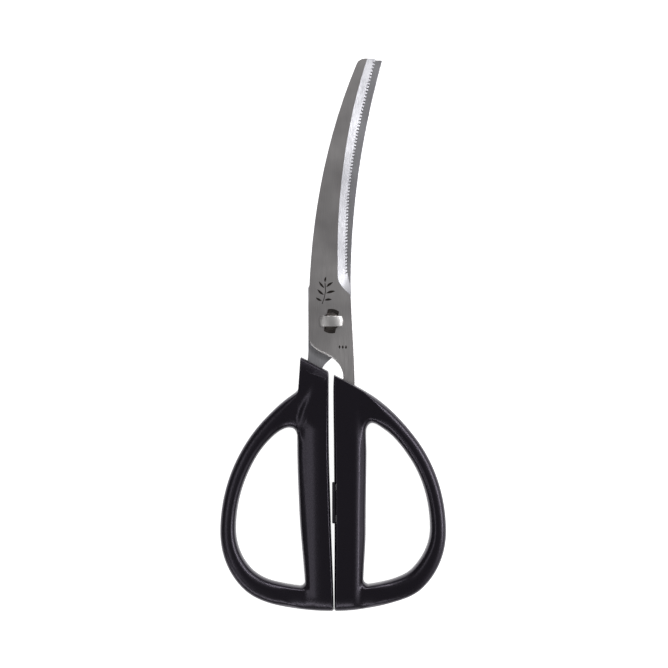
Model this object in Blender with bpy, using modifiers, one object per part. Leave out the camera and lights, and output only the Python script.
"""Take-apart poultry shears: two curved blades that turn on one T-headed stud,
each with a moulded handle that carries a D-shaped finger bow.

The shears lie flat. X is across, Y runs toward the blade tips and Z is up.
Every part is drawn about the pivot axis, in millimetres, and scaled to metres
when its mesh is made; a root empty then sets the whole tool on its origin, the
middle of the base of its bounding box.
"""

import math

import bmesh
import bpy
from mathutils import Vector
from mathutils.geometry import interpolate_bezier

MM = 0.001

# Overall sizes
BLADE_REACH = 103.0        # pivot axis to the tips
HANDLE_REACH = 113.75      # pivot axis to the foot of the handles
FRONT_BOW = 45.0           # pivot axis to the outside of the front finger bow
REAR_BOW = 43.6            # pivot axis to the outside of the rear finger bow
HANDLE_HALF = 5.5          # half the thickness of a handle's column
COLUMN_W = 12.5            # column, from the gap side to the finger side

# Blades
BLADE_T = 2.2              # thickness of each blade
BLADE_GAP = 0.3            # gap between the two blades' flat faces
EDGE_LAND = 0.12           # blunt land left along a ground edge
TOOTH_PITCH = 1.3          # pitch of the front blade's fine serration
TOOTH_DEPTH = 0.6
TANG_LENGTH = 36.0         # length of tang hidden in each handle
TANG_HALF = 1.9            # half the width of a tang at its foot
TANG_HOLE_R = 1.3          # hole in a tang, through which the plastic locks
MOULD_FIT = 0.3            # clearance round a part set into a moulding

# Pivot
NECK_R = 3.34              # neck of the stud, on which the front blade turns
RUNNING_FIT = 0.08
HEAD_R = 4.58              # T head of the stud
HEAD_HALF = 2.05           # half the width across its two flats
HEAD_T = 1.2
HEAD_FIT = 0.1             # under the T head
LOBE_FIT = 0.22            # round the T head, in the slot that lets it through
RELEASE_DEG = 100.5        # how far the front blade opens before it lifts off
SHANK_R = 2.8              # keyed shank in the rear blade
SHANK_HALF = 2.0
KEY_FIT = 0.06
RIVET_R = 4.0
RIVET_T = 0.9

# Handle section
BOW_STEP = 1.0             # how far a finger bow lies below the column
REAR_LAND = 3.0            # flat part of the column's face, from the gap side
FRONT_LAND = 7.5
UNDER_LAND = 6.0
REAR_LEAN = 4.5            # how far the rear column's shoulder leans in at the collar
OUTER_ROUND = 1.0
INNER_ROUND = 2.6
INNER_WALL = 1.7           # half height of the wall at the finger side
COLLAR_SLOPE = 3.5         # length of the sloped end of the rear handle

# Stop bumper
BUMP_TOP = 63.5            # pivot axis to the pad's upper end
BUMP_LENGTH = 15.6
BUMP_STEP = 0.9            # how far the pad lies below the column's faces
BUMP_PROUD = 0.28          # how near its face comes to the tool's middle line
BUMP_FIT = 0.2
PAD_BACK = 1.7             # back of the pad, in its seat
STEM_DEEP = 3.4
STEM_HALF = 2.0
STEM_END = 3.0             # pad left beyond the stem at each end

# Derived: the handles rest on the ground and the blades meet at their middle
CONTACT_Z = HANDLE_HALF
BOW_HALF = HANDLE_HALF - BOW_STEP
BORE_R = NECK_R + RUNNING_FIT
SLOT_R = HEAD_R + LOBE_FIT
SLOT_HALF = HEAD_HALF + LOBE_FIT
REAR_TOP = CONTACT_Z - BLADE_GAP / 2
REAR_BOTTOM = REAR_TOP - BLADE_T
FRONT_BOTTOM = CONTACT_Z + BLADE_GAP / 2
FRONT_TOP = FRONT_BOTTOM + BLADE_T


# ---------------------------------------------------------------- outlines

def sweep(start, start_deg, end, end_deg, steps):
    """Points from start up to end, leaving and arriving on the two headings."""
    start = Vector((start[0], start[1], 0.0))
    end = Vector((end[0], end[1], 0.0))
    turn = math.radians((end_deg - start_deg + 180.0) % 360.0 - 180.0)
    reach = (end - start).length / 3
    if abs(turn) > 0.01:
        reach = (end - start).length * 2 / 3 * math.tan(turn / 4) / math.sin(turn / 2)
    leave = Vector((math.cos(math.radians(start_deg)), math.sin(math.radians(start_deg)), 0.0))
    arrive = Vector((math.cos(math.radians(end_deg)), math.sin(math.radians(end_deg)), 0.0))
    return interpolate_bezier(start, start + leave * reach, end - arrive * reach, end, steps + 1)


def placed(knots, move_x, move_y):
    """Knots drawn at the first size, carried to the size that is set."""
    carried = []
    for knot in knots:
        x, y = move_x(knot[0]), move_y(knot[1])
        turns = []
        for heading in knot[2:]:
            step_x = 0.001 * math.cos(math.radians(heading))
            step_y = 0.001 * math.sin(math.radians(heading))
            turns.append(math.degrees(math.atan2(move_y(knot[1] + step_y) - y,
                                                 move_x(knot[0] + step_x) - x)))
        carried.append((x, y, *turns))
    return carried


def keep(value):
    """A coordinate that no size moves."""
    return value


def blade_y(y):
    """Length along a blade: everything past the shoulder follows BLADE_REACH."""
    return y if y < 26.0 else 26.0 + (y - 26.0) * (BLADE_REACH - 26.0) / 77.0


def handle_y(y):
    """Length along a handle: everything past the hole's top follows HANDLE_REACH."""
    return y if y > -50.0 else -50.0 + (y + 50.0) * (HANDLE_REACH - 50.0) / 63.75


def bow_x(x, side, reach, drawn):
    """Distance across a handle: the column's width, then the bow's reach."""
    out = x * side
    wider = COLUMN_W - 12.5
    if out < 3.0:
        return x
    if out < 10.0:
        return side * (out + wider * (out - 3.0) / 7.0)
    if out < 18.0:
        return side * (out + wider)
    start = 18.0 + wider
    return side * (start + (out - 18.0) * (reach - start) / (drawn - 18.0))


def rear_x(x):
    """Distance across the rear handle."""
    return bow_x(x, -1, REAR_BOW, 43.6)


def front_x(x):
    """Distance across the front handle."""
    return bow_x(x, 1, FRONT_BOW, 45.0)


def path(knots, steps, closed=True):
    """An outline through knots (x, y, heading in, heading out), as 2D points."""
    points = []
    ends = knots[1:] + knots[:1] if closed else knots[1:]
    for index, (a, b) in enumerate(zip(knots, ends)):
        count = steps[index] if isinstance(steps, list) else steps
        points += sweep(a[:2], a[-1], b[:2], b[2], count)[:-1]
    if not closed:
        points.append(Vector((knots[-1][0], knots[-1][1], 0.0)))
    return points


def grown(points, gap):
    """The same counter-clockwise outline moved outward by gap."""
    moved = []
    count = len(points)
    for k in range(count):
        before = (points[k] - points[k - 1]).normalized()
        after = (points[(k + 1) % count] - points[k]).normalized()
        normal = Vector((before.y + after.y, -before.x - after.x, 0.0))
        moved.append(points[k] + normal * (2 * gap / max(normal.length_squared, 0.5)))
    return moved


def circle(x, y, radius, count=24):
    """A closed ring of points."""
    ring = []
    for k in range(count):
        turn = math.tau * k / count
        ring.append(Vector((x + radius * math.cos(turn), y + radius * math.sin(turn), 0.0)))
    return ring


def serrated(points, pitch, depth):
    """Fine teeth along an open edge whose material lies on its left."""
    spans = []
    total = 0.0
    for a, b in zip(points, points[1:]):
        spans.append((total, a, b))
        total += (b - a).length
    count = int(total / pitch) * 2
    teeth = []
    for k in range(count + 1):
        along = total * k / count
        begin, a, b = [span for span in spans if span[0] <= along + 1e-9][-1]
        heading = (b - a).normalized()
        inward = Vector((-heading.y, heading.x, 0.0))
        teeth.append(a + heading * (along - begin) + inward * (depth if k % 2 else 0.0))
    return teeth


# Knots at the first size. A blade's outline runs down its left side, round the
# tang and up its right side; a ridge is the upper line of a ground bevel.
TANG_END = -22.0 - TANG_LENGTH
HOLE_Y = TANG_END + 14.0


def tang_foot(x):
    """The hidden end of a tang, centred at x."""
    return [(x - TANG_HALF, TANG_END + 2.0, 270), (x, TANG_END, 0),
            (x + TANG_HALF, TANG_END + 2.0, 90)]


FRONT_TANG_X = 6.9
REAR_TANG_X = -7.5
FRONT_SIDES = placed(
    [(17.2, 103.0, 180), (13.4, 103.0, 180), (9.9, 101.0, 247.4), (-8.9, 2.0, 270),
     (-8.55, -7.9, 284), (-5.8, -11.2, 328), (0.24, -14.5, 324, 328), (4.65, -22.0, 270)]
    + tang_foot(FRONT_TANG_X)
    + [(9.2, -22.3, 91), (8.1, 1.3, 93), (7.7, 13.6, 91, 118), (5.9, 24.0, 90)], keep, blade_y)
FRONT_EDGE = placed([(5.9, 24.0, 90), (6.7, 48.4, 86), (9.0, 68.5, 81), (17.2, 103.0, 75.5)],
                    keep, blade_y)
FRONT_RIDGE = placed([(9.0, 9.2, 145), (2.5, 22.0, 91), (3.4, 49.0, 85), (14.3, 103.6, 71.5)],
                     keep, blade_y)
FRONT_WASTE = placed([(11.5, 12.2, 145), (5.9, 24.0, 90), (6.7, 48.4, 86), (17.4, 103.6, 75.5)],
                     keep, blade_y)
REAR_SIDES = placed(
    [(20.1, 102.6, 180), (13.8, 102.6, 180), (10.9, 100.9, 247.4), (-7.8, 18.0, 267),
     (-9.15, 13.0, 250, 270), (-9.1, -10.5, 270), (-9.9, -22.0, 267)]
    + tang_foot(REAR_TANG_X)
    + [(-4.5, -22.0, 90), (0.24, -14.5, 36, 36), (5.9, -11.0, 32), (7.7, -6.5, 90),
       (7.7, 15.0, 90), (20.1, 102.6, 74.4)], keep, blade_y)
REAR_RIDGE = placed([(-11.5, 9.0, 60), (-4.6, 18.0, 87), (14.1, 103.2, 65)], keep, blade_y)
REAR_WASTE = placed([(-12.0, 13.5, 60), (-7.8, 20.0, 87), (11.3, 103.2, 66)], keep, blade_y)


def front_outline(teeth=False):
    """Outline of the front blade, with or without its fine serration."""
    edge = path(FRONT_EDGE, 10, closed=False)
    if teeth:
        edge = serrated(edge, TOOTH_PITCH, TOOTH_DEPTH)
    return path(FRONT_SIDES, 10, closed=False)[:-1] + edge[:-1]


def rear_outline():
    """Outline of the rear blade."""
    return path(REAR_SIDES, 12, closed=False)[:-1]


# ----------------------------------------------------------------- objects

def material(name, colour, roughness, metallic):
    """A Principled material."""
    made = bpy.data.materials.new(name)
    made.use_nodes = True
    shader = made.node_tree.nodes["Principled BSDF"]
    shader.inputs["Base Color"].default_value = (*colour, 1.0)
    shader.inputs["Roughness"].default_value = roughness
    shader.inputs["Metallic"].default_value = metallic
    return made


def add_object(name, mesh, group, look=None):
    """A mesh object in a collection, hung from the root empty at the pivot."""
    made = bpy.data.objects.new(name, mesh)
    group.objects.link(made)
    made.parent = ROOT
    if look:
        mesh.materials.append(look)
    else:
        made.hide_render = True
        made.display_type = 'WIRE'
    return made


def plate(name, loops, low, high, group, look=None):
    """A flat plate: filled 2D outlines with thickness, made into one mesh."""
    curve = bpy.data.curves.new(name, 'CURVE')
    curve.dimensions = '2D'
    curve.fill_mode = 'BOTH'
    curve.extrude = (high - low) / 2 * MM
    for loop in loops:
        spline = curve.splines.new('POLY')
        spline.points.add(len(loop) - 1)
        for point, place in zip(spline.points, loop):
            point.co = (place.x * MM, place.y * MM, 0.0, 1.0)
        spline.use_cyclic_u = True
    flat = bpy.data.objects.new(name + "_outline", curve)
    group.objects.link(flat)
    bpy.context.view_layer.update()
    mesh = bpy.data.meshes.new_from_object(flat.evaluated_get(bpy.context.evaluated_depsgraph_get()))
    bpy.data.objects.remove(flat)
    shape = bmesh.new()
    shape.from_mesh(mesh)
    bmesh.ops.remove_doubles(shape, verts=shape.verts, dist=1e-7)
    bmesh.ops.translate(shape, verts=shape.verts, vec=(0.0, 0.0, (low + high) / 2 * MM))
    bmesh.ops.recalc_face_normals(shape, faces=shape.faces)
    shape.to_mesh(mesh)
    shape.free()
    mesh.materials.clear()
    mesh.shade_flat()
    mesh.name = name
    return add_object(name, mesh, group, look)


def block(name, low, high, group, look=None, bevel=0.0):
    """A box between two corners, with optional rounded edges."""
    shape = bmesh.new()
    bmesh.ops.create_cube(shape, size=1.0)
    size = [(high[k] - low[k]) * MM for k in range(3)]
    middle = [(high[k] + low[k]) / 2 * MM for k in range(3)]
    bmesh.ops.scale(shape, verts=shape.verts, vec=size)
    bmesh.ops.translate(shape, verts=shape.verts, vec=middle)
    mesh = bpy.data.meshes.new(name)
    shape.to_mesh(mesh)
    shape.free()
    made = add_object(name, mesh, group, look)
    if bevel:
        edge = made.modifiers.new("rounded_edges", 'BEVEL')
        edge.width = bevel * MM
        edge.segments = 2
    return made


def loft(name, sections, group, look=None, ring=False):
    """A skin through closed sections of equal count, capped unless it is a ring."""
    shape = bmesh.new()
    rows = []
    for section in sections:
        rows.append([shape.verts.new(place * MM) for place in section])
    follow = rows[1:] + rows[:1] if ring else rows[1:]
    for a, b in zip(rows, follow):
        for k in range(len(a)):
            shape.faces.new((a[k - 1], a[k], b[k], b[k - 1]))
    if not ring:
        shape.faces.new(rows[0])
        shape.faces.new(rows[-1])
    bmesh.ops.recalc_face_normals(shape, faces=shape.faces)
    mesh = bpy.data.meshes.new(name)
    shape.to_mesh(mesh)
    shape.free()
    return add_object(name, mesh, group, look)


def cut(target, cutter, operation='DIFFERENCE'):
    """An exact Boolean that stays on the target."""
    step = target.modifiers.new(cutter.name, 'BOOLEAN')
    step.operation = operation
    step.solver = 'EXACT'
    step.object = cutter


def smooth(target, degrees=30.0):
    """Round faces shaded smooth, with sharp edges kept."""
    target.data.shade_smooth()
    target.data.set_sharp_from_angle(angle=math.radians(degrees))


# ------------------------------------------------------------------ blades

def bevel_cutter(name, ridge, edge, face_z, edge_z):
    """The waste above a ground bevel that falls from the ridge to the edge."""
    sections = []
    away = 1.5 if face_z > edge_z else -1.5
    for top, low in zip(path(ridge, 14, closed=False), path(edge, 14, closed=False)):
        across = low - top
        fall = edge_z - face_z
        inner = top - across * 0.2
        outer = top + across * 1.5
        sections.append([Vector((inner.x, inner.y, face_z - fall * 0.2)),
                         Vector((outer.x, outer.y, face_z + fall * 1.5)),
                         Vector((outer.x, outer.y, face_z + away)),
                         Vector((inner.x, inner.y, face_z + away))])
    return loft(name, sections, CUTTERS)


def double_d(radius, half_width, along_deg, count=10):
    """A round outline with two flats that run along the given direction."""
    edge = math.asin(half_width / radius)
    points = []
    for side in (0.0, math.pi):
        for k in range(count + 1):
            turn = side - edge + 2 * edge * k / count + math.radians(along_deg)
            points.append(Vector((radius * math.cos(turn), radius * math.sin(turn), 0.0)))
    return points


def make_front_blade(look):
    """Upper blade: serrated edge, round bore with the T head's release slot."""
    hole = circle(FRONT_TANG_X, HOLE_Y, TANG_HOLE_R)
    blade = plate("front_blade", [front_outline(teeth=True), hole], FRONT_BOTTOM, FRONT_TOP,
                  PARTS, look)
    ground = bevel_cutter("cut_front_bevel", FRONT_RIDGE, FRONT_WASTE, FRONT_TOP,
                          FRONT_BOTTOM + EDGE_LAND)
    cut(blade, ground)
    cut(blade, plate("cut_front_bore", [circle(0.0, 0.0, BORE_R, 48)], FRONT_BOTTOM - 1.0,
                     FRONT_TOP + 1.0, CUTTERS))
    cut(blade, plate("cut_release_slot", [double_d(SLOT_R, SLOT_HALF, 180.0 - RELEASE_DEG)],
                     FRONT_BOTTOM - 1.0, FRONT_TOP + 1.0, CUTTERS))
    return blade


def make_rear_blade(look):
    """Lower blade: plain edge, keyed hole that holds the stud from turning."""
    hole = circle(REAR_TANG_X, HOLE_Y, TANG_HOLE_R)
    blade = plate("rear_blade", [rear_outline(), hole], REAR_BOTTOM, REAR_TOP, PARTS, look)
    ground = bevel_cutter("cut_rear_bevel", REAR_RIDGE, REAR_WASTE, REAR_BOTTOM,
                          REAR_TOP - EDGE_LAND)
    cut(blade, ground)
    cut(blade, plate("cut_key_hole", [double_d(SHANK_R + KEY_FIT, SHANK_HALF + KEY_FIT, 0.0)],
                     REAR_BOTTOM - 1.0, REAR_TOP + 1.0, CUTTERS))
    return blade


# -------------------------------------------------------------------- stud

def make_stud(look):
    """Turned stud: T head and neck with two flats, keyed shank, riveted foot."""
    head_low = FRONT_TOP + HEAD_FIT
    head_top = head_low + HEAD_T
    seat = REAR_TOP + KEY_FIT
    foot = REAR_BOTTOM - KEY_FIT
    profile = [(0.0, head_top + 0.15), (2.4, head_top + 0.08), (HEAD_R - 0.35, head_top - 0.1),
               (HEAD_R, head_top - 0.4), (HEAD_R, head_low), (NECK_R, head_low),
               (NECK_R, seat), (SHANK_R, seat), (SHANK_R, foot), (RIVET_R, foot),
               (RIVET_R - 0.1, foot - 0.3), (RIVET_R - 1.2, foot - RIVET_T * 0.85),
               (0.0, foot - RIVET_T)]
    mesh = bpy.data.meshes.new("pivot_stud")
    places = [Vector((radius, 0.0, height)) * MM for radius, height in profile]
    mesh.from_pydata(places, [(k, k + 1) for k in range(len(places) - 1)], [])
    stud = add_object("pivot_stud", mesh, PARTS, look)
    turned = stud.modifiers.new("turned", 'SCREW')
    turned.steps = 48
    turned.render_steps = 48
    turned.use_merge_vertices = True
    turned.merge_threshold = 0.00001
    for name, low_z, high_z, half in (
            ("head_flat", seat + 0.15, head_top + 2.0, HEAD_HALF),
            ("shank_flat", foot, seat, SHANK_HALF)):
        for side in (-1, 1):
            near = side * half
            far = side * (HEAD_R + 2.0)
            cutter = block(f"cut_{name}_{'a' if side < 0 else 'b'}", (-8.0, min(near, far), low_z),
                           (8.0, max(near, far), high_z), CUTTERS)
            cut(stud, cutter)
    return stud


# ----------------------------------------------------------------- handles

# Outer outline and finger-hole outline of each handle, knot for knot: from the
# foot of the column up its gap side, over the top, down the bow and back.
REAR_OUTER = placed([(0.1, -113.75, 1), (0.94, -112.9, 91), (-0.35, -74.0, 91.5), (-1.0, -47.0, 90.5),
              (-1.06, -20.6, 90, 90), (-1.5, -19.5, 152), (-11.8, -14.1, 152, 200),
              (-12.2, -14.6, 267), (-12.95, -26.0, 266), (-14.6, -28.3, 216),
              (-17.4, -30.3, 217), (-25.9, -38.1, 226), (-36.9, -53.8, 243.5),
              (-43.6, -82.5, 270), (-34.2, -105.2, 317), (-22.6, -111.0, 345)], rear_x, handle_y)
REAR_INNER = placed([(-12.6, -104.0, 352), (-10.4, -101.9, 94), (-12.6, -74.0, 92.5), (-13.4, -48.0, 90),
              (-13.45, -45.4, 91), (-13.45, -45.0, 92), (-13.5, -44.5, 98),
              (-13.6, -44.1, 103), (-14.1, -42.9, 125), (-15.6, -41.85, 168),
              (-17.6, -41.85, 195), (-23.9, -46.1, 225), (-29.8, -53.8, 240),
              (-37.5, -81.5, 270), (-31.4, -97.2, 314), (-22.6, -102.1, 345)], rear_x, handle_y)
FRONT_OUTER = placed([(2.0, -113.75, 179), (1.15, -112.9, 90), (1.2, -81.0, 90.3), (0.95, -50.0, 90.5),
               (0.72, -27.0, 90), (1.0, -20.95, 85, 333), (9.8, -25.4, 330), (17.8, -30.3, 324),
               (33.2, -46.0, 307), (45.0, -82.5, 270), (35.5, -104.9, 223),
               (23.0, -110.6, 196)], front_x, handle_y)
FRONT_INNER = placed([(15.1, -103.3, 190), (12.6, -101.1, 88), (13.5, -81.0, 90), (13.8, -52.0, 90),
               (13.6, -43.4, 90), (14.3, -41.0, 55), (16.1, -39.95, 355), (20.1, -42.0, 327),
               (31.0, -54.0, 303), (38.75, -81.5, 270), (32.0, -97.0, 227),
               (25.0, -101.0, 200)], front_x, handle_y)


def blend(low, high, value):
    """0 below low, 1 above high, easing between."""
    t = min(max((value - low) / (high - low), 0.0), 1.0)
    return t * t * (3 - 2 * t)


def shoulder(distance, radius):
    """Height of a quarter round at a distance in from its edge, from 0 to 1."""
    t = min(max(distance / radius, 0.0), 1.0)
    return math.sqrt(1 - (1 - t) ** 2)


def column_height(depth, width, flat):
    """Half thickness of the column at a depth from its gap side."""
    flat = min(flat, width * 0.75)
    t = max(depth - flat, 0.0) / (width - flat)
    if t < 1:
        return INNER_WALL + (HANDLE_HALF - INNER_WALL) * math.sqrt(1 - t * t)
    return INNER_WALL - 3 * (depth - width)


def skin_height(place, gap_x, side, flat, lean):
    """Half thickness of a handle where the bow and the column merge."""
    depth = side * (place.x - gap_x - 0.012 * side * (place.y + 60.0))
    width = COLUMN_W - lean * blend(-43.0, -27.0, place.y)
    column = column_height(depth, width, flat)
    bow = BOW_HALF + (HANDLE_HALF - BOW_HALF) * blend(-50.0, -28.0, place.y)
    soft = 0.8
    mix = min(max(0.5 + (column - bow) / (2 * soft), 0.0), 1.0)
    merged = bow * (1 - mix) + column * mix + soft * mix * (1 - mix)
    return min(merged, HANDLE_HALF)


def station_counts(outer):
    """How many sections to lay between two knots, from their distance and turn."""
    counts = []
    for a, b in zip(outer, outer[1:] + outer[:1]):
        span = math.hypot(b[0] - a[0], b[1] - a[1])
        turn = abs((b[2] - a[-1] + 180.0) % 360.0 - 180.0)
        counts.append(max(1, math.ceil(span / 12.0), math.ceil(turn / 8.0)))
    return counts


def handle_sections(outer, inner, gap_x, side, flats, lean, slope):
    """Closed sections round the bow, each from the outside to the finger hole."""
    sections = []
    steps = station_counts(outer)
    for out, into in zip(path(outer, steps), path(inner, steps)):
        width = (into - out).length
        reach = [0.0, 0.12, 0.4, OUTER_ROUND]
        finger = width - INNER_ROUND
        for share in (0.25, 0.5, 0.7, 0.85):
            reach.append(OUTER_ROUND + (finger - OUTER_ROUND) * share)
        reach += [finger, width - 1.3, width - 0.45, width - 0.1, width]
        rim = []
        for end, flat in ((1, flats[0]), (-1, flats[1])):
            row = []
            for distance in reach:
                place = out.lerp(into, distance / width)
                full = skin_height(place, gap_x, side, flat, lean)
                if end > 0:
                    full -= slope(place)
                drop = OUTER_ROUND * (1 - shoulder(distance, OUTER_ROUND))
                drop += (full - INNER_WALL) * (1 - shoulder(width - distance, INNER_ROUND))
                row.append(Vector((place.x, place.y, CONTACT_Z + end * (full - drop))))
            rim += row if end > 0 else row[::-1]
        sections.append(rim)
    return sections


def collar_slope(place):
    """How far the rear handle's collar falls toward its slanted end."""
    from_end = -(0.465 * place.x + 0.885 * place.y) - 18.0
    return 0.3 * max(COLLAR_SLOPE - from_end, 0.0) if place.x > -13.0 else 0.0


def no_slope(place):
    """The front handle has no sloped end."""
    return 0.0


def make_rear_handle(look):
    """Handle on the left: collar, column and finger bow, moulded on the tang."""
    sections = handle_sections(REAR_OUTER, REAR_INNER, -0.6, -1, (REAR_LAND, UNDER_LAND),
                               REAR_LEAN, collar_slope)
    handle = loft("rear_handle", sections, PARTS, look, ring=True)
    pocket = plate("cut_rear_tang", [grown(rear_outline(), MOULD_FIT),
                                     circle(REAR_TANG_X, HOLE_Y, TANG_HOLE_R - MOULD_FIT)],
                   REAR_BOTTOM - MOULD_FIT, REAR_TOP + MOULD_FIT, CUTTERS)
    cut(handle, pocket)
    smooth(handle)
    return handle


def make_front_handle(look):
    """Handle on the right: column and finger bow, with a seat for the bumper."""
    sections = handle_sections(FRONT_OUTER, FRONT_INNER, 0.95, 1, (FRONT_LAND, UNDER_LAND),
                               0.0, no_slope)
    handle = loft("front_handle", sections, PARTS, look, ring=True)
    pocket = plate("cut_front_tang", [grown(front_outline(), MOULD_FIT),
                                      circle(FRONT_TANG_X, HOLE_Y, TANG_HOLE_R - MOULD_FIT)],
                   FRONT_BOTTOM - MOULD_FIT, FRONT_TOP + MOULD_FIT, CUTTERS)
    cut(handle, pocket)
    top = handle_y(-BUMP_TOP)
    low = top - BUMP_LENGTH
    seat = block("cut_bumper_seat", (-3.0, low - BUMP_FIT, -1.0),
                 (PAD_BACK + BUMP_FIT, top + BUMP_FIT, HANDLE_HALF * 2 + 1.0), CUTTERS)
    cut(handle, seat)
    half = STEM_HALF + BUMP_FIT
    stem = block("cut_bumper_stem", (PAD_BACK - 0.5, low + STEM_END - BUMP_FIT, CONTACT_Z - half),
                 (PAD_BACK + STEM_DEEP + BUMP_FIT, top - STEM_END + BUMP_FIT,
                  CONTACT_Z + half), CUTTERS)
    cut(handle, stem)
    smooth(handle)
    return handle


def make_bumper(look):
    """Elastomer stop: a pad along the gap with a stem set in the front handle."""
    top = handle_y(-BUMP_TOP)
    low = top - BUMP_LENGTH
    half = HANDLE_HALF - BUMP_STEP
    pad = block("stop_bumper", (BUMP_PROUD, low, CONTACT_Z - half),
                (PAD_BACK, top, CONTACT_Z + half), PARTS, look, bevel=0.35)
    stem = block("join_bumper_stem", (PAD_BACK - 0.5, low + STEM_END, CONTACT_Z - STEM_HALF),
                 (PAD_BACK + STEM_DEEP, top - STEM_END, CONTACT_Z + STEM_HALF), CUTTERS)
    cut(pad, stem, 'UNION')
    return pad


# ------------------------------------------------------------------- build

for old in list(bpy.data.objects):
    bpy.data.objects.remove(old)

PARTS = bpy.data.collections.new("poultry_shears")
CUTTERS = bpy.data.collections.new("cutters")
bpy.context.scene.collection.children.link(PARTS)
bpy.context.scene.collection.children.link(CUTTERS)

ROOT = bpy.data.objects.new("pivot_axis", None)
PARTS.objects.link(ROOT)

STEEL = material("ground_stainless", (0.17, 0.165, 0.167), 0.35, 1.0)
BRIGHT = material("turned_stainless", (0.5, 0.49, 0.49), 0.22, 1.0)
PLASTIC = material("moulded_plastic", (0.018, 0.016, 0.021), 0.42, 0.0)
ELASTOMER = material("stop_elastomer", (0.004, 0.004, 0.005), 0.75, 0.0)

make_front_blade(STEEL)
make_rear_blade(STEEL.copy())
make_stud(BRIGHT)
make_rear_handle(PLASTIC)
make_front_handle(PLASTIC.copy())
make_bumper(ELASTOMER)

# The origin is the middle of the base of the box round the whole tool.
rim_x = [p.x for p in path(REAR_OUTER, 24) + path(FRONT_OUTER, 24)]
rim_y = [p.y for p in path(REAR_OUTER, 24) + path(FRONT_OUTER, 24) + front_outline()]
ROOT.location.x = -(min(rim_x) + max(rim_x)) / 2 * MM
ROOT.location.y = -(min(rim_y) + max(rim_y)) / 2 * MM
print("pivot axis at", [round(value, 6) for value in ROOT.location])
